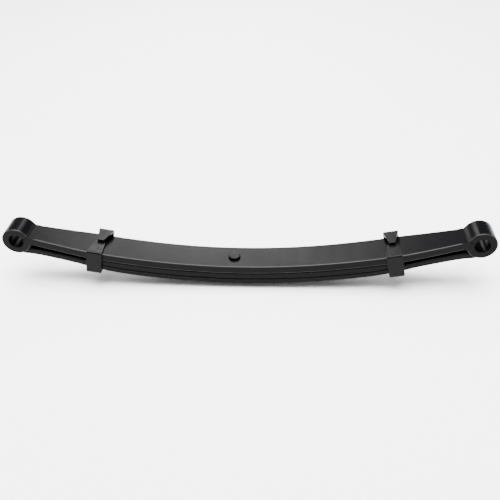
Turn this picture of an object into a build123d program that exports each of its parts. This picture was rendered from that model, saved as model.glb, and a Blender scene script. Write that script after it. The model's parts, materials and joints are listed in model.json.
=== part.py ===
from build123d import *
import math
import os

# A three-leaf semi-elliptic spring. X runs along the leaves, Y across them and Z up.
# The origin is under the middle of the eye-to-eye line, level with the tip of the centre bolt.

# Driving dimensions, in millimetres
EYE_SPAN = 612.0  # eye centre to eye centre, unloaded
LEAF_WIDTH = 44.0
MAIN_THICKNESS = 11.1
LOWER_THICKNESS = 8.6  # middle and wrapper leaves
CAMBER = 44.4  # rise of the main leaf's top line from its middle to the eye centres
CAMBER_FULLNESS = 0.146  # how far the arc is rounder than a parabola, as a share of the camber
EYE_BORE = 19.8
EYE_OUTER = 38.1
EYE_WIDTH = 32.0
EYE_RISE = 33.9  # eye centre above the main leaf's top at the middle
BORE_CHAMFER = 0.3
NECK_FILLET = 5.0  # under the leaf, where it turns into the eye
VALLEY_FILLET = 2.0  # on top of the leaf, beside the eye
SEAM_WIDTH = 0.8  # between the rolled tip and the leaf
PLAN_TAPER_LENGTH = 96.0  # the leaves narrow towards the eyes from this far inside their centres
PLAN_BLEND = 150.0  # radius where the narrowing starts and ends
ROUNDED_REACH = 20.0  # edges longer than this along the leaf are rounded
EDGE_ROUND = 1.4  # rolled edge of the bar
MAIN_GAP = 0.3  # between the main leaf and the middle leaf
NEST_GAP = 0.1  # between the middle leaf and the wrapper leaf
TUCK = 4.4  # how far the wrapper draws in under the main leaf, past the middle leaf
TUCK_START = 165.0  # along the leaf, from the middle
TUCK_END = 235.0
MIDDLE_END = 203.0  # half length; it stops inside the clips
WRAPPER_SETBACK = 6.0  # its ends stop this far inside the eye centres
WRAPPER_SPREAD = 5.2  # how far the wrapper drops further away at the eyes, to pass under them
EYE_CLEARANCE = 0.35  # between the wrapper leaf and the eye

BOLT_X = -14.0
BOLT_DIAMETER = 9.5
BOLT_HOLE_CLEARANCE = 0.4  # on the diameter
HEAD_DIAMETER = 16.0
HEAD_HEIGHT = 3.2
HEAD_ROUND = 1.0
NUT_ACROSS_FLATS = 14.3
NUT_HEIGHT = 6.0
NUT_CHAMFER = 0.8
BOLT_TAIL = 1.8  # thread showing under the nut
SEAT_GAP = 0.02
THREAD_CLEARANCE = 0.05

CLIP_X = 196.5  # middle of each clip
CLIP_WIDTH = 20.0
CLIP_THICKNESS = 3.2
CLIP_SIDE_CLEARANCE = 0.5
CLIP_TOP_CLEARANCE = 0.5
CLIP_BASE_GAP = 2.6  # the strap hangs on the rivet's shoulder, this far under the wrapper leaf
CLIP_BEND = 4.5  # outer radius of the strap's lower bends
CLIP_CORNER = 3.0  # cut off the plates' lower corners
LEFT_CLIP_SKEW = 6.0  # degrees that the left strap stands off square
FRONT_TAB_LENGTH = 30.0
FRONT_TAB_TIP = 12.0  # width at its tip
BACK_TAB_LIFT = 4.6  # height of the back fold above the leaf
BACK_TAB_LENGTH = 23.0
BACK_TAB_TIP = 8.0
RIVET_DIAMETER = 6.0
RIVET_SHOULDER = 9.0  # diameter between the strap and the leaf
SHOULDER_GAP = 0.5  # the leaf slopes a little across the shoulder
RIVET_HEAD_DIAMETER = 10.0
RIVET_HEAD_HEIGHT = 2.4
RIVET_CLEARANCE = 0.1

# Derived sizes
HALF_SPAN = EYE_SPAN / 2
WRAPPER_END = HALF_SPAN - WRAPPER_SETBACK  # half length
BORE_R = EYE_BORE / 2
EYE_R = EYE_OUTER / 2
PACK_HEIGHT = MAIN_THICKNESS + 2 * LOWER_THICKNESS + MAIN_GAP + NEST_GAP
TOP_Z = PACK_HEIGHT + NUT_HEIGHT + BOLT_TAIL  # main leaf's top at the middle
EYE_Z = TOP_Z + EYE_RISE
STATIONS = [i / 12 for i in range(-12, 13)]  # shares of a leaf's half length


def main_top(x):
    """Height of the main leaf's top line."""
    u = x / HALF_SPAN
    return TOP_Z + CAMBER * (u**2 + CAMBER_FULLNESS * (u**2 - u**4))


def main_bottom(x):
    return main_top(x) - MAIN_THICKNESS


def middle_top(x):
    return main_bottom(x) - MAIN_GAP


def wrapper_top(x):
    """Nested under the middle leaf, drawn in past its tips, then dropping to pass the eyes."""
    t = min(max((abs(x) - TUCK_START) / (TUCK_END - TUCK_START), 0.0), 1.0)
    drawn_in = TUCK * (3 * t**2 - 2 * t**3)
    beyond = max(abs(x) - MIDDLE_END, 0.0) / (HALF_SPAN - MIDDLE_END)
    return middle_top(x) - LOWER_THICKNESS - NEST_GAP + drawn_in - WRAPPER_SPREAD * beyond**4


def middle_bottom(x):
    """The middle leaf fills the space above the wrapper, so its tips are a little thinner."""
    return wrapper_top(x) + NEST_GAP


def wrapper_bottom(x):
    return wrapper_top(x) - LOWER_THICKNESS


def line_through(height, half_length):
    """A smooth line along the leaf at the given height function."""
    points = [(half_length * s, height(half_length * s)) for s in STATIONS]
    return Spline(*points)


def bar_profile(top, bottom, half_length):
    """Side view of a plain leaf, in the XZ plane."""
    upper = line_through(top, half_length)
    lower = line_through(bottom, half_length)
    ends = [Line(upper @ 0, lower @ 0), Line(upper @ 1, lower @ 1)]
    return make_face([upper, lower, *ends])


def plan_outline(half_length):
    """Top view that trims a leaf: full width in the middle and narrowed to the eyes."""
    full, narrow = LEAF_WIDTH / 2, EYE_WIDTH / 2
    start, neck, end = HALF_SPAN - PLAN_TAPER_LENGTH, HALF_SPAN - EYE_R, HALF_SPAN + EYE_R
    right = [(start, full), (neck, narrow), (end, narrow)]
    upper = [(-x, y) for x, y in reversed(right)] + right
    lower = [(x, -y) for x, y in reversed(upper)]
    outline = make_face(Polyline(*upper, *lower, close=True))
    shoulders = [v for v in outline.vertices() if abs(v.X) < HALF_SPAN]
    outline = fillet(shoulders, PLAN_BLEND)
    return outline & Rectangle(2 * half_length, 2 * LEAF_WIDTH)


def side_to_bar(profile, half_length):
    """Give a side view its width, trim it to the plan and drill the centre bolt's hole."""
    bar = extrude(Plane.XZ * profile, LEAF_WIDTH, both=True)
    trim = extrude(plan_outline(half_length), 4 * (TOP_Z + CAMBER), both=True)
    hole = Cylinder((BOLT_DIAMETER + BOLT_HOLE_CLEARANCE) / 2, 6 * TOP_Z)
    return (bar & trim) - Pos(BOLT_X, 0, 0) * hole


def long_edges(solid):
    """Edges that run along the leaf, on its four corners."""
    return [e for e in solid.edges() if e.bounding_box().size.X > ROUNDED_REACH]


def rounded(solid):
    """Round the bar's long edges."""
    return fillet(long_edges(solid), EDGE_ROUND)


def near(vertices, x, z, reach):
    """Vertices of a side view within reach of a point."""
    return [v for v in vertices if math.hypot(v.X - x, v.Y - z) < reach]


def main_leaf():
    """The longest leaf, rolled into an eye at each end."""
    side = bar_profile(main_top, main_bottom, HALF_SPAN - BORE_R)
    for sign in (-1, 1):
        side += Pos(sign * HALF_SPAN, EYE_Z) * Circle(EYE_R)
    neck_x = HALF_SPAN - EYE_R
    for sign in (-1, 1):
        below = near(side.vertices(), sign * neck_x, main_bottom(neck_x), EYE_R / 3)
        side = fillet(below, NECK_FILLET)
        above = near(side.vertices(), sign * neck_x, main_top(neck_x), EYE_R / 3)
        side = fillet(above, VALLEY_FILLET)
    for sign in (-1, 1):
        side -= Pos(sign * HALF_SPAN, EYE_Z) * Circle(BORE_R)
    leaf = side_to_bar(side, HALF_SPAN + EYE_R)
    for sign in (-1, 1):
        leaf -= eye_seam(sign)
        leaf -= bore_chamfers(sign)
    return leaf


def eye_seam(sign):
    """The slit between the rolled tip and the leaf, from the valley on top into the bore."""
    neck_x = HALF_SPAN - EYE_R
    slope = math.degrees(math.atan2(main_top(neck_x) - EYE_Z, EYE_R))
    depth = EYE_R - BORE_R / 2
    slit = Pos(-(BORE_R / 2 + depth / 2), 0, 0) * Box(depth, 2 * EYE_WIDTH, SEAM_WIDTH)
    slit = Rot(0, slope, 0) * slit
    if sign < 0:
        slit = mirror(slit, Plane.YZ)
    return Pos(sign * HALF_SPAN, 0, EYE_Z) * slit


def bore_chamfers(sign):
    """Cones that break the edge of the bore on both faces of the eye."""
    rims = []
    for side in (-1, 1):
        cone = Cone(BORE_R, BORE_R + 2 * BORE_CHAMFER, 2 * BORE_CHAMFER)
        centre = Pos(sign * HALF_SPAN, side * EYE_WIDTH / 2, EYE_Z)
        rims.append(centre * Rot(-90 * side, 0, 0) * cone)
    return rims


def middle_leaf():
    """The middle leaf, thinned towards blunt ends short of the eyes."""
    side = bar_profile(middle_top, middle_bottom, MIDDLE_END)
    return rounded(side_to_bar(side, MIDDLE_END))


def wrapper_leaf():
    """The bottom leaf, whose ends are scooped out to lie under the eyes."""
    side = bar_profile(wrapper_top, wrapper_bottom, WRAPPER_END)
    for sign in (-1, 1):
        side -= Pos(sign * HALF_SPAN, EYE_Z) * Circle(EYE_R + EYE_CLEARANCE)
    return rounded(side_to_bar(side, WRAPPER_END))


def clip_strap(skew):
    """One bent strap about the pack, in its own frame: the top of the main leaf is at Z 0."""
    pack = main_top(CLIP_X) - wrapper_bottom(CLIP_X)
    inner_y = LEAF_WIDTH / 2 + CLIP_SIDE_CLEARANCE
    outer_y = inner_y + CLIP_THICKNESS
    floor_z = -pack - CLIP_BASE_GAP
    base_z = floor_z - CLIP_THICKNESS
    tab_low = CLIP_TOP_CLEARANCE
    tab_high = tab_low + CLIP_THICKNESS
    back_high = tab_high + BACK_TAB_LIFT
    tip_y = inner_y - BACK_TAB_LENGTH
    section = make_face(
        Polyline(
            (-outer_y, tab_high),
            (-outer_y, base_z),
            (outer_y, base_z),
            (outer_y, back_high),
            (inner_y - CLIP_THICKNESS, back_high),
            (tip_y, tab_high + CLIP_THICKNESS + CLIP_SIDE_CLEARANCE),
            (tip_y, tab_high + CLIP_SIDE_CLEARANCE),
            (inner_y - CLIP_THICKNESS, back_high - CLIP_THICKNESS),
            (inner_y, back_high - CLIP_THICKNESS),
            (inner_y, floor_z),
            (-inner_y, floor_z),
            (-inner_y, tab_low),
            (FRONT_TAB_LENGTH - outer_y, tab_low),
            (FRONT_TAB_LENGTH - outer_y, tab_high),
            close=True,
        )
    )
    lower = [v for v in section.vertices() if abs(v.Y - base_z) < 0.01]
    section = fillet(lower, CLIP_BEND)
    folds = [v for v in section.vertices() if abs(abs(v.X) - outer_y) < 0.01 and v.Y > 0]
    section = fillet(folds, CLIP_THICKNESS * 0.8)
    strap = extrude(Plane.YZ * section, 2 * CLIP_WIDTH, both=True)
    strap &= Rot(0, 0, skew) * strap_blank(base_z)
    return strap - tab_waste(skew, tab_low)


def strap_blank(base_z):
    """Front view of the strap, its lower corners cut off, run through from front to back."""
    wide, high = CLIP_WIDTH / 2, LEAF_WIDTH
    front = Polyline(
        (-wide, high),
        (-wide, base_z + CLIP_CORNER),
        (-wide + CLIP_CORNER, base_z),
        (wide - CLIP_CORNER, base_z),
        (wide, base_z + CLIP_CORNER),
        (wide, high),
        close=True,
    )
    return extrude(Plane.XZ * make_face(front), 2 * LEAF_WIDTH, both=True)


def tab_waste(skew, tab_low):
    """What is cut from both tabs so that they narrow to their tips."""
    outer_y = LEAF_WIDTH / 2 + CLIP_SIDE_CLEARANCE + CLIP_THICKNESS
    front_tip = FRONT_TAB_LENGTH - outer_y
    back_tip = outer_y - CLIP_THICKNESS - BACK_TAB_LENGTH
    wide = CLIP_WIDTH / 2
    beyond = CLIP_WIDTH / 2  # the cuts run on past the tips
    front_end = front_tip + beyond
    waste = []
    for sign in (-1, 1):
        front = make_face(
            Polyline(
                (sign * wide, -outer_y + CLIP_THICKNESS),
                (sign * FRONT_TAB_TIP / 2, front_tip),
                (sign * FRONT_TAB_TIP / 2, front_end),
                (sign * 2 * wide, front_end),
                (sign * 2 * wide, -outer_y + CLIP_THICKNESS),
                close=True,
            )
        )
        reach = CLIP_THICKNESS + CLIP_SIDE_CLEARANCE / 2
        waste.append(Pos(0, 0, tab_low) * extrude(front, reach))
        back = make_face(
            Polyline(
                (sign * wide, outer_y - CLIP_THICKNESS),
                (sign * BACK_TAB_TIP / 2, back_tip),
                (sign * BACK_TAB_TIP / 2, back_tip - beyond),
                (sign * 2 * wide, back_tip - beyond),
                (sign * 2 * wide, outer_y - CLIP_THICKNESS),
                close=True,
            )
        )
        above = tab_low + CLIP_THICKNESS + CLIP_SIDE_CLEARANCE / 2
        waste.append(Pos(0, 0, above) * extrude(back, 4 * CLIP_THICKNESS + BACK_TAB_LIFT))
    return [Rot(0, 0, skew) * w for w in waste]


def clip_frame(sign):
    """Where a clip stands on the main leaf, square to it."""
    step = 1.0
    slope = (main_top(CLIP_X + step) - main_top(CLIP_X - step)) / (2 * step)
    return Pos(sign * CLIP_X, 0, main_top(CLIP_X)) * Rot(0, -sign * math.degrees(math.atan(slope)), 0)


def rivet_hole(length):
    return Cylinder((RIVET_DIAMETER + RIVET_CLEARANCE) / 2, length)


def clip_base_z():
    """Underside of a clip's strap, in the clip's frame."""
    pack = main_top(CLIP_X) - wrapper_bottom(CLIP_X)
    return -pack - CLIP_BASE_GAP - CLIP_THICKNESS


def rebound_clip(sign, skew):
    strap = clip_strap(skew) - Pos(0, 0, clip_base_z()) * rivet_hole(4 * CLIP_THICKNESS)
    return clip_frame(sign) * strap


def rivet_depth():
    """How far the rivet's shank reaches up from the strap's underside, into the leaf."""
    return CLIP_THICKNESS + CLIP_BASE_GAP + LOWER_THICKNESS / 2


def clip_rivet(sign):
    """Holds the clip to the wrapper leaf: a domed head, a shoulder and a shank set in the leaf."""
    base, depth = clip_base_z(), rivet_depth()
    shank = Pos(0, 0, base + depth / 2) * Cylinder(RIVET_DIAMETER / 2, depth)
    shoulder_z = base + CLIP_THICKNESS + CLIP_BASE_GAP / 2
    shoulder = Pos(0, 0, shoulder_z) * Cylinder(RIVET_SHOULDER / 2, CLIP_BASE_GAP - 2 * SHOULDER_GAP)
    head = Pos(0, 0, base) * Rot(180, 0, 0) * dome(RIVET_HEAD_DIAMETER, RIVET_HEAD_HEIGHT)
    return clip_frame(sign) * (shank + shoulder + head)


def rivet_pocket(sign):
    """The blind hole in the wrapper leaf that takes the rivet's shank."""
    depth = rivet_depth() + RIVET_CLEARANCE
    return clip_frame(sign) * Pos(0, 0, clip_base_z() + depth / 2) * rivet_hole(depth)


def dome(diameter, height):
    """A low round head standing on Z 0."""
    r = diameter / 2
    ball = (r**2 + height**2) / (2 * height)
    cap = Pos(0, 0, height - ball) * Sphere(ball)
    return cap & Pos(0, 0, height) * Box(2 * diameter, 2 * diameter, 2 * height)


def centre_bolt():
    """The bolt that pins the leaves together, with its round head on top."""
    r = HEAD_DIAMETER / 2
    seat = max(main_top(BOLT_X - r), main_top(BOLT_X + r)) + SEAT_GAP
    shank = Pos(BOLT_X, 0, seat / 2) * Cylinder(BOLT_DIAMETER / 2, seat)
    head = Cylinder(r, HEAD_HEIGHT, align=(Align.CENTER, Align.CENTER, Align.MIN))
    crown = head.edges().filter_by(GeomType.CIRCLE).sort_by(Axis.Z)[-1]
    return shank + Pos(BOLT_X, 0, seat) * fillet(crown, HEAD_ROUND)


def centre_nut():
    """The hexagon nut under the wrapper leaf."""
    blank = extrude(RegularPolygon(NUT_ACROSS_FLATS / 2, 6, major_radius=False), NUT_HEIGHT)
    corners = NUT_ACROSS_FLATS / math.sqrt(3)
    turned = Cylinder(corners, NUT_HEIGHT, align=(Align.CENTER, Align.CENTER, Align.MIN))
    ends = turned.edges().filter_by(GeomType.CIRCLE)
    blank &= chamfer(ends, NUT_CHAMFER)
    hole = Cylinder(BOLT_DIAMETER / 2 + THREAD_CLEARANCE, 4 * NUT_HEIGHT)
    seat = min(wrapper_bottom(BOLT_X + corners), wrapper_bottom(BOLT_X - corners)) - SEAT_GAP
    return Pos(BOLT_X, 0, seat - NUT_HEIGHT) * (blank - hole)


def build():
    """Every sub-part by its node name."""
    wrapper = wrapper_leaf() - [rivet_pocket(-1), rivet_pocket(1)]
    return {
        "main_leaf": main_leaf(),
        "middle_leaf": middle_leaf(),
        "wrapper_leaf": wrapper,
        "left_rebound_clip": rebound_clip(-1, -LEFT_CLIP_SKEW),
        "right_rebound_clip": rebound_clip(1, 0),
        "left_clip_rivet": clip_rivet(-1),
        "right_clip_rivet": clip_rivet(1),
        "centre_bolt": centre_bolt(),
        "centre_bolt_nut": centre_nut(),
    }


os.makedirs("parts", exist_ok=True)
for name, solid in build().items():
    export_step(solid, f"parts/{name}.step")
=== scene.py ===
import json
import logging
import math
from dataclasses import dataclass
from enum import Enum

import bpy
from mathutils import Matrix, Vector


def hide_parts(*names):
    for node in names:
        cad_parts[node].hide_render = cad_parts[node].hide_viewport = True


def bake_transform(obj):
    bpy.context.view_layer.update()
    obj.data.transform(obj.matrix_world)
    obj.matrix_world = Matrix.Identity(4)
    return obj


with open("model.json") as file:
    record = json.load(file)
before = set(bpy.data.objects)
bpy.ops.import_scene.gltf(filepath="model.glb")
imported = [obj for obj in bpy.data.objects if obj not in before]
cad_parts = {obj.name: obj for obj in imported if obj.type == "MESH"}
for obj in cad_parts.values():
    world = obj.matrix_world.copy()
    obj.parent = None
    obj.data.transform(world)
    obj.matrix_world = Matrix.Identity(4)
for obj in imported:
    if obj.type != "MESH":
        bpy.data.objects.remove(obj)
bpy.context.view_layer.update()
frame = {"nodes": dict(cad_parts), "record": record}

LOG = logging.getLogger("leaf_spring")
MM = 0.001
MOUNTS = {mount["name"]: mount for mount in frame["record"]["mounts"]}

WELD_MM = 0.001  # vertices nearer than this are joined
FLAT_DEG = 0.2  # neighbouring faces that turn less than this become one
SHARP_DEG = 60.0  # corners that turn more than this are rounded
SMOOTH_DEG = 30.0  # faces that turn less than this are shaded as one surface
ROUNDING_SEGMENTS = 3

EYE_CIRCLE_MM = 18.6  # no edge this near an eye's centre is rounded
SEAM_REACH_MM = 22.5  # nor one inboard of the eye that is within this of its centre
SEAM_HALF_MM = 8.0  # and within this of its height

NOISE_LOW = 0.3  # a noise is seldom lower
NOISE_HIGH = 0.7  # a noise is seldom higher
CLOUD_DETAIL = 4.0
PEEL_DETAIL = 2.0


class Side(Enum):
    """The two ends of the spring, by the sign of X."""

    LEFT = -1
    RIGHT = 1


def linear(hex_colour: str) -> tuple[float, float, float, float]:
    """Turn an sRGB colour into the linear values that shaders take.

    Args:
        hex_colour: Six hexadecimal digits after a hash sign.

    Returns:
        Red, green, blue and alpha, each from 0 to 1.
    """
    # The sRGB curve is a straight line near black and a power above it.
    channels = [int(hex_colour[i : i + 2], 16) / 255 for i in (1, 3, 5)]
    lit = [c / 12.92 if c <= 0.04045 else ((c + 0.055) / 1.055) ** 2.4 for c in channels]
    return (*lit, 1.0)


@dataclass(frozen=True)
class Paint:
    """A sprayed or dipped black paint on steel, with its own slight unevenness."""

    name: str
    colour: str
    worn_colour: str
    roughness: float
    roughness_spread: float
    specular: float  # the shader's specular level
    peel_mm: float  # size of the orange peel's dimples
    peel_depth_mm: float
    cloud_mm: float  # size of the cloudy patches in the gloss

    def build(self) -> bpy.types.Material:
        """Make the node material.

        Returns:
            The material, patterned on Object coordinates.
        """
        material = bpy.data.materials.new(self.name)
        material.use_nodes = True
        tree = material.node_tree
        shader = tree.nodes["Principled BSDF"]
        shader.inputs["Specular IOR Level"].default_value = self.specular
        where = tree.nodes.new("ShaderNodeTexCoord").outputs["Object"]
        clouds = self._noise(tree, where, self.cloud_mm, CLOUD_DETAIL)
        self._ranged(
            tree,
            clouds,
            self.roughness - self.roughness_spread,
            self.roughness + self.roughness_spread,
            shader.inputs["Roughness"],
        )
        tint = tree.nodes.new("ShaderNodeMix")
        tint.data_type = "RGBA"
        tint.inputs["A"].default_value = linear(self.colour)
        tint.inputs["B"].default_value = linear(self.worn_colour)
        tree.links.new(clouds, tint.inputs["Factor"])
        tree.links.new(tint.outputs["Result"], shader.inputs["Base Color"])
        bump = tree.nodes.new("ShaderNodeBump")
        bump.inputs["Distance"].default_value = self.peel_depth_mm * MM
        peel = self._noise(tree, where, self.peel_mm, PEEL_DETAIL)
        tree.links.new(peel, bump.inputs["Height"])
        tree.links.new(bump.outputs["Normal"], shader.inputs["Normal"])
        return material

    def _noise(
        self,
        tree: bpy.types.NodeTree,
        where: bpy.types.NodeSocket,
        size_mm: float,
        detail: float,
    ) -> bpy.types.NodeSocket:
        """Add a noise whose patches are about size_mm across.

        Args:
            tree: The material's node tree.
            where: The coordinate output to read.
            size_mm: Patch size in millimetres.
            detail: Octaves of finer noise.

        Returns:
            The noise's value output.
        """
        noise = tree.nodes.new("ShaderNodeTexNoise")
        noise.inputs["Scale"].default_value = 1 / (size_mm * MM)
        noise.inputs["Detail"].default_value = detail
        tree.links.new(where, noise.inputs["Vector"])
        return noise.outputs["Fac"]

    def _ranged(
        self,
        tree: bpy.types.NodeTree,
        value: bpy.types.NodeSocket,
        low: float,
        high: float,
        target: bpy.types.NodeSocket,
    ) -> None:
        """Map a noise to a range and link it on.

        Args:
            tree: The material's node tree.
            value: The output to map.
            low: Result at NOISE_LOW.
            high: Result at NOISE_HIGH.
            target: The input that takes the result.
        """
        ranged = tree.nodes.new("ShaderNodeMapRange")
        ranged.inputs["From Min"].default_value = NOISE_LOW
        ranged.inputs["From Max"].default_value = NOISE_HIGH
        ranged.inputs["To Min"].default_value = low
        ranged.inputs["To Max"].default_value = high
        tree.links.new(value, ranged.inputs["Value"])
        tree.links.new(ranged.outputs["Result"], target)


# Satin black chassis paint, sprayed: an even soft sheen with faint orange peel.
LEAF_PAINT = Paint(
    name="satin_black_sprayed_paint",
    colour="#020203",
    worn_colour="#040405",
    roughness=0.30,
    roughness_spread=0.03,
    specular=0.045,
    peel_mm=1.6,
    peel_depth_mm=0.015,
    cloud_mm=60.0,
)
# The same paint made lighter on the rounded edges: the lighter colour is a painted highlight
# along the edges, and the higher specular level lets them catch the light as a fine line.
EDGE_HIGHLIGHT_PAINT = Paint(
    name="satin_black_paint_thin_on_edges",
    colour="#0e0e0f",
    worn_colour="#131314",
    roughness=0.34,
    roughness_spread=0.05,
    specular=0.25,
    peel_mm=1.2,
    peel_depth_mm=0.02,
    cloud_mm=25.0,
)
# The same paint over a sheared and bent strap, which takes it a little rougher.
CLIP_PAINT = Paint(
    name="satin_black_paint_on_bent_strap",
    colour="#030304",
    worn_colour="#060607",
    roughness=0.28,
    roughness_spread=0.05,
    specular=0.06,
    peel_mm=1.2,
    peel_depth_mm=0.03,
    cloud_mm=12.0,
)
# The same paint, thin over forged fasteners.
HARDWARE_PAINT = Paint(
    name="satin_black_paint_on_fasteners",
    colour="#030304",
    worn_colour="#050506",
    roughness=0.34,
    roughness_spread=0.06,
    specular=0.05,
    peel_mm=1.0,
    peel_depth_mm=0.03,
    cloud_mm=8.0,
)


def select_only(thing: bpy.types.Object) -> None:
    """Deselect everything else and make this object active.

    Args:
        thing: The object to work on.
    """
    bpy.ops.object.select_all(action="DESELECT")
    thing.select_set(True)
    bpy.context.view_layer.objects.active = thing


@dataclass
class FlexPiece:
    """A piece made from a CAD node's shape; a halved leaf is also cut across in steps."""

    node: str
    slot: str
    material: bpy.types.Material
    rounding_mm: float = 0.0  # edge rounding added to the sharp corners
    clamped: bool = True  # short edges may narrow the rounding
    bend_step_mm: float = 12.0  # between the cuts that let a leaf bend smoothly
    seat_half_mm: float = 60.0  # half the length that the axle seat holds straight
    # the edge material is a lighter paint: a painted highlight on the rounded corners
    edge_highlight_material: bpy.types.Material | None = None  # on the rounded corners

    def build(self, side: Side, name: str, halved: bool) -> bpy.types.Object:
        """Make the piece for one end of the spring.

        Args:
            side: The end it belongs to.
            name: The new object's name.
            halved: Whether the node runs through the middle and is cut there.

        Returns:
            The finished piece.
        """
        piece = self._copy(name)
        piece.data.materials.clear()
        piece.data.materials.append(self.material)
        if self.edge_highlight_material:
            piece.data.materials.append(self.edge_highlight_material)
        select_only(piece)
        bpy.ops.object.mode_set(mode="EDIT")
        bpy.ops.mesh.select_all(action="SELECT")
        bpy.ops.mesh.remove_doubles(threshold=WELD_MM * MM)
        bpy.ops.mesh.dissolve_limited(angle_limit=math.radians(FLAT_DEG))
        bpy.ops.object.mode_set(mode="OBJECT")
        if self.rounding_mm:
            self._round(piece)
        if halved:
            self._cut(0.0, side, keep_side=True)
            steps = int(self._reach(piece) / (self.bend_step_mm * MM))
            for step in range(1, steps + 1):
                self._cut(side.value * step * self.bend_step_mm * MM, side, keep_side=False)
        select_only(piece)
        bpy.ops.object.shade_smooth_by_angle(angle=math.radians(SMOOTH_DEG))
        evened = piece.modifiers.new("evened_normals", "WEIGHTED_NORMAL")
        evened.keep_sharp = True
        bpy.ops.object.modifier_apply(modifier=evened.name)
        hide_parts(self.node)
        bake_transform(piece)
        return piece

    def _copy(self, name: str) -> bpy.types.Object:
        """Take the node's shape into a new object with its place in its mesh.

        Args:
            name: The new object's name.

        Returns:
            The new object.
        """
        source = frame["nodes"][self.node]
        mesh = source.data.copy()
        mesh.transform(source.matrix_world)
        piece = bpy.data.objects.new(name, mesh)
        bpy.context.scene.collection.objects.link(piece)
        return piece

    def _reach(self, piece: bpy.types.Object) -> float:
        """Find how far the piece runs from the middle.

        Args:
            piece: The piece to measure.

        Returns:
            The largest distance from the middle, in metres.
        """
        return max(abs(v.co.x) for v in piece.data.vertices)

    def _round(self, piece: bpy.types.Object) -> None:
        """Round the sharp corners that are marked for it.

        Args:
            piece: The piece to round.
        """
        self._mark(piece)
        rounding = piece.modifiers.new("rounded_edges", "BEVEL")
        rounding.width = self.rounding_mm * MM
        rounding.segments = ROUNDING_SEGMENTS
        rounding.limit_method = "WEIGHT"
        rounding.use_clamp_overlap = self.clamped
        # the rounded faces take the lighter material, a painted highlight along the edges
        rounding.material = 1 if self.edge_highlight_material else -1
        bpy.ops.object.modifier_apply(modifier=rounding.name)

    def _mark(self, piece: bpy.types.Object) -> None:
        """Give a bevel weight to each sharp edge that should be rounded.

        Args:
            piece: The piece whose edges are marked.
        """
        mesh = piece.data
        faces_by_edge = {}
        for face in mesh.polygons:
            for key in face.edge_keys:
                faces_by_edge.setdefault(key, []).append(face.normal.copy())
        weight = mesh.attributes.get("bevel_weight_edge") or mesh.attributes.new(
            "bevel_weight_edge", "FLOAT", "EDGE"
        )
        marked = 0
        for edge in mesh.edges:
            normals = faces_by_edge.get(tuple(sorted(edge.vertices)), [])
            paired = len(normals) == 2
            sharp = paired and normals[0].angle(normals[1], 0.0) > math.radians(SHARP_DEG)
            ends = [mesh.vertices[i].co for i in edge.vertices]
            wanted = sharp and self._outside_eye(ends)
            weight.data[edge.index].value = 1.0 if wanted else 0.0
            marked += wanted
        LOG.info("%s: %d edges rounded", piece.name, marked)

    def _outside_eye(self, ends: list[Vector]) -> bool:
        """Tell whether an edge keeps clear of the eye's bore and seam.

        Args:
            ends: The edge's two end points.

        Returns:
            True if both ends are clear of both.
        """
        for side in Side:
            eye = Vector(MOUNTS[f"eye_bore_{side.name.lower()}"]["pos_m"])
            for end in ends:
                from_eye = math.hypot(end.x - eye.x, end.z - eye.z)
                if from_eye < EYE_CIRCLE_MM * MM:
                    return False
                inboard = abs(end.x) < abs(eye.x) and from_eye < SEAM_REACH_MM * MM
                if inboard and abs(end.z - eye.z) < SEAM_HALF_MM * MM:
                    return False
        return True

    def _cut(self, x: float, side: Side, keep_side: bool) -> None:
        """Cut the active piece across at one place along the leaf.

        Args:
            x: Where to cut, in metres.
            side: The end that is kept, when one is.
            keep_side: Whether the rest is cut away and the cut closed.
        """
        bpy.ops.object.mode_set(mode="EDIT")
        bpy.ops.mesh.select_all(action="SELECT")
        bpy.ops.mesh.bisect(
            plane_co=(x, 0, 0),
            plane_no=(side.value, 0, 0),
            clear_inner=keep_side,
            use_fill=keep_side,
        )
        bpy.ops.object.mode_set(mode="OBJECT")


@dataclass
class LeafPack:
    """The main, middle and wrapper leaves, each as two halves."""

    main_rounding_mm: float = 1.0  # the two lower leaves are already rounded

    def build(self, paint: bpy.types.Material, edge_highlight_paint: bpy.types.Material) -> None:
        """Make the six halves.

        Args:
            paint: The leaves' material.
            edge_highlight_paint: The material of the main leaf's rounded edges, lighter for a
                painted highlight.
        """
        roundings = {"main_leaf": self.main_rounding_mm, "middle_leaf": 0.0, "wrapper_leaf": 0.0}
        for node, rounding in roundings.items():
            for side in Side:
                piece = FlexPiece(
                    node=node,
                    slot="leaf_paint",
                    material=paint,
                    rounding_mm=rounding,
                    clamped=False,
                    edge_highlight_material=edge_highlight_paint if rounding else None,
                )
                piece.build(side, f"{node}_{side.name.lower()}_half", halved=True)


@dataclass
class Clips:
    """The rebound clips and their rivets."""

    strap_rounding_mm: float = 0.8

    def build(
        self,
        strap_paint: bpy.types.Material,
        edge_highlight_paint: bpy.types.Material,
        rivet_paint: bpy.types.Material,
    ) -> None:
        """Make both clips and both rivets.

        Args:
            strap_paint: The straps' material.
            edge_highlight_paint: The material of the straps' rounded edges, lighter for a
                painted highlight.
            rivet_paint: The rivets' material.
        """
        for side in Side:
            end = side.name.lower()
            strap = FlexPiece(
                node=f"{end}_rebound_clip",
                slot="clip_paint",
                material=strap_paint,
                rounding_mm=self.strap_rounding_mm,
                edge_highlight_material=edge_highlight_paint,
            )
            strap.build(side, f"{end}_clip_strap", halved=False)
            rivet = FlexPiece(f"{end}_clip_rivet", "hardware_paint", rivet_paint)
            rivet.build(side, f"{end}_clip_rivet_head", halved=False)


class CentreBolt:
    """The centre bolt and its nut keep their CAD shapes and take the paint."""

    NODES = ("centre_bolt", "centre_bolt_nut")

    def build(self, paint: bpy.types.Material) -> None:
        """Paint both.

        Args:
            paint: The fasteners' material.
        """
        for name in self.NODES:
            node = frame["nodes"][name]
            for place in node.material_slots:
                place.link = "OBJECT"
                place.material = paint


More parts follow.
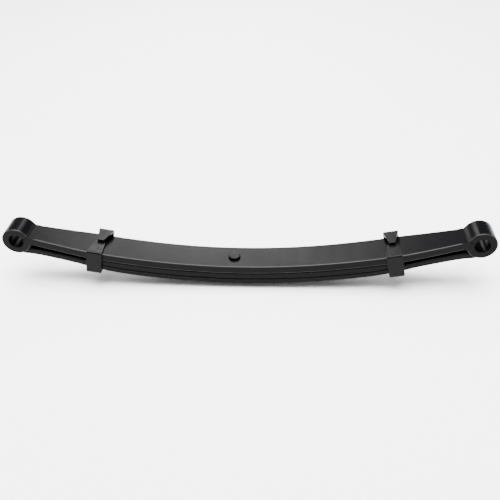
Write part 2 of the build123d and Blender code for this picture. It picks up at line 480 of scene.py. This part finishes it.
@dataclass(frozen=True)
class Softbox:
    """One rectangular soft light."""

    name: str
    place_m: tuple[float, float, float]
    aim_m: tuple[float, float, float]
    wide_m: float
    high_m: float
    watts: float

    def hang(self) -> None:
        """Put the light in its place, facing the point that it aims at."""
        lamp = bpy.data.lights.new(self.name, "AREA")
        lamp.shape = "RECTANGLE"
        lamp.size = self.wide_m
        lamp.size_y = self.high_m
        lamp.energy = self.watts
        holder = bpy.data.objects.new(self.name, lamp)
        holder.location = self.place_m
        facing = Vector(self.aim_m) - Vector(self.place_m)
        holder.rotation_euler = facing.to_track_quat("-Z", "Y").to_euler()
        bpy.context.scene.collection.objects.link(holder)


# Behind the spring, for the pale sheen along the tops of the leaves.
BACK_SOFTBOX = Softbox(
    name="back_softbox",
    place_m=(-0.21, 1.35, 1.05),
    aim_m=(0.0, 0.0, 0.05),
    wide_m=0.42,
    high_m=0.7,
    watts=17.0,
)
# Overhead, to light the floor.
TOP_SOFTBOX = Softbox(
    name="top_softbox",
    place_m=(0.0, -0.1, 1.9),
    aim_m=(0.0, 0.0, 0.0),
    wide_m=2.0,
    high_m=1.4,
    watts=110.0,
)


@dataclass
class Studio:
    """A white sweep with soft light, and the camera."""

    floor_size_m: float = 60.0
    floor_drop_m: float = 0.0002  # keeps the floor just clear of the spring
    floor_colour: str = "#f7f7f7"
    zenith_strength: float = 14.0
    low_sky_strength: float = 0.5
    dim_below_deg: float = 50.0  # the sky is dim up to this height
    bright_above_deg: float = 75.0  # and at its brightest from this one
    focal_mm: float = 45.58
    sensor_mm: float = 36.0
    pitch_deg: float = 36.689
    yaw_deg: float = -5.393
    roll_deg: float = -2.588
    distance_m: float = 0.852683
    aim_m: tuple[float, float, float] = (0.007538, 0.0, 0.048653)
    nearest_m: float = 0.01
    farthest_m: float = 200.0

    def build(self) -> None:
        """Make the floor, the lights and the camera."""
        self._floor()
        self._sky()
        for softbox in (BACK_SOFTBOX, TOP_SOFTBOX):
            softbox.hang()
        self._camera()

    def _floor(self) -> None:
        """Lay a pale floor under the spring."""
        bpy.ops.object.select_all(action="DESELECT")
        place = (0, 0, -self.floor_drop_m)
        bpy.ops.mesh.primitive_plane_add(size=self.floor_size_m, location=place)
        floor = bpy.context.active_object
        floor.name = "floor"
        card = bpy.data.materials.new("matt_white_card")
        card.use_nodes = True
        shader = card.node_tree.nodes["Principled BSDF"]
        shader.inputs["Base Color"].default_value = linear(self.floor_colour)
        shader.inputs["Roughness"].default_value = 1.0
        shader.inputs["Specular IOR Level"].default_value = 0.0
        floor.data.materials.append(card)

    def _sky(self) -> None:
        """Surround the scene with white light, bright overhead and dim low down."""
        world = bpy.data.worlds.new("white_room")
        world.use_nodes = True
        tree = world.node_tree
        backdrop = tree.nodes["Background"]
        backdrop.inputs["Color"].default_value = (1, 1, 1, 1)
        direction = tree.nodes.new("ShaderNodeTexCoord").outputs["Generated"]
        height = tree.nodes.new("ShaderNodeSeparateXYZ")
        rise = tree.nodes.new("ShaderNodeMapRange")
        rise.interpolation_type = "SMOOTHSTEP"
        rise.inputs["From Min"].default_value = math.sin(math.radians(self.dim_below_deg))
        rise.inputs["From Max"].default_value = math.sin(math.radians(self.bright_above_deg))
        rise.inputs["To Min"].default_value = self.low_sky_strength
        rise.inputs["To Max"].default_value = self.zenith_strength
        tree.links.new(direction, height.inputs["Vector"])
        tree.links.new(height.outputs["Z"], rise.inputs["Value"])
        tree.links.new(rise.outputs["Result"], backdrop.inputs["Strength"])
        bpy.context.scene.world = world

    def _camera(self) -> None:
        """Set up the camera from its pitch, yaw and roll about the aim point."""
        pitch, yaw = math.radians(self.pitch_deg), math.radians(self.yaw_deg)
        roll = math.radians(self.roll_deg)
        forward = Vector(
            (math.sin(yaw) * math.cos(pitch), math.cos(yaw) * math.cos(pitch), -math.sin(pitch))
        )
        right = Vector((math.cos(yaw), -math.sin(yaw), 0.0))
        up = right.cross(forward)
        rolled_right = right * math.cos(roll) + up * math.sin(roll)
        rolled_up = up * math.cos(roll) - right * math.sin(roll)
        turn = Matrix((rolled_right, rolled_up, -forward)).transposed().to_4x4()
        lens = bpy.data.cameras.new("camera")
        lens.lens = self.focal_mm
        lens.sensor_width = self.sensor_mm
        lens.clip_start = self.nearest_m
        lens.clip_end = self.farthest_m
        camera = bpy.data.objects.new("camera", lens)
        place = Vector(self.aim_m) - forward * self.distance_m
        camera.matrix_world = Matrix.Translation(place) @ turn
        bpy.context.scene.collection.objects.link(camera)
        bpy.context.scene.camera = camera


def main() -> None:
    """Build the spring and its studio."""
    logging.basicConfig(level=logging.INFO)
    leaf_paint, edge_highlight_paint, clip_paint, hardware_paint = (
        paint.build() for paint in (LEAF_PAINT, EDGE_HIGHLIGHT_PAINT, CLIP_PAINT, HARDWARE_PAINT)
    )
    LeafPack().build(leaf_paint, edge_highlight_paint)
    Clips().build(clip_paint, edge_highlight_paint, hardware_paint)
    CentreBolt().build(hardware_paint)
    Studio().build()


if __name__ == "__main__":
    main()
